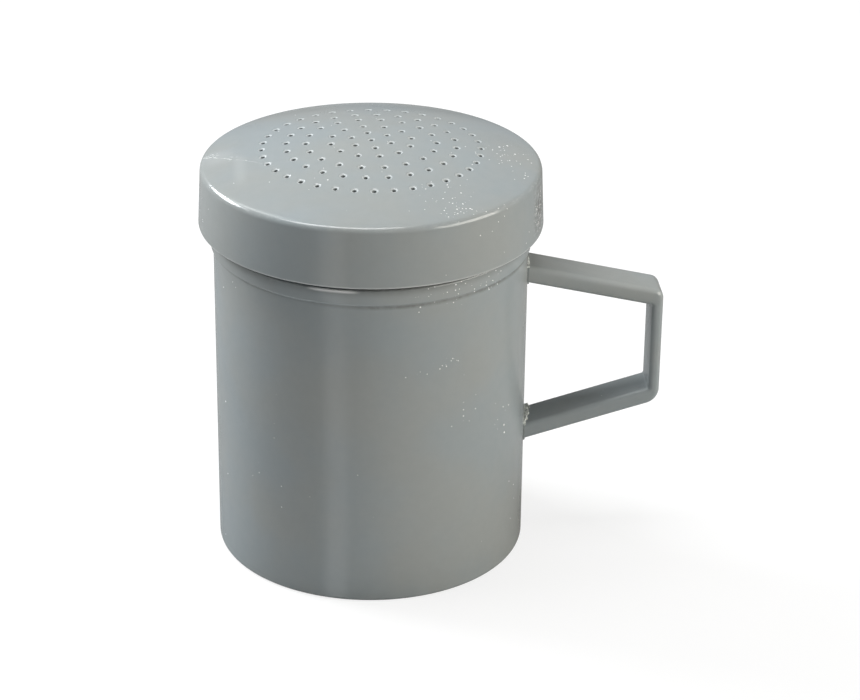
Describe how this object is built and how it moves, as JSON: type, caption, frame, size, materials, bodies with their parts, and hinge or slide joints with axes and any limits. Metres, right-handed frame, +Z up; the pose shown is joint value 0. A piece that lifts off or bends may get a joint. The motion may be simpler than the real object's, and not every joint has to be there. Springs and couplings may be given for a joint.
{
  "type": "handled table shaker",
  "caption": "Handled plastic shaker: a straight round cup with a bonded loop handle and a domed, perforated press-on lid.",
  "frame": {"origin": "centre of the cup's foot, on the surface that it stands on", "axes": "+Z up along the cup's axis; +X from the axis towards the handle's grip; +Y completes the right-handed frame, across the handle"},
  "size_m": [0.1088, 0.08, 0.1009],
  "materials": {
    "body_plastic": "moulded grey plastic, smooth satin gloss",
    "lid_plastic": "moulded grey plastic, smooth satin gloss with fine dust",
    "bond": "dried adhesive squeezed out of the joint, pale and uneven"
  },
  "bodies": {
    "body": {"cup": "body_plastic", "handle": "body_plastic", "upper_bond": "bond", "lower_bond": "bond"},
    "lid": {"lid": "lid_plastic"}
  },
  "joints": [
    {"name": "lid_lift", "type": "slide", "parent": "body", "child": "lid", "axis": [0, 0, 1], "range_m": [0, 0.06]}
  ]
}
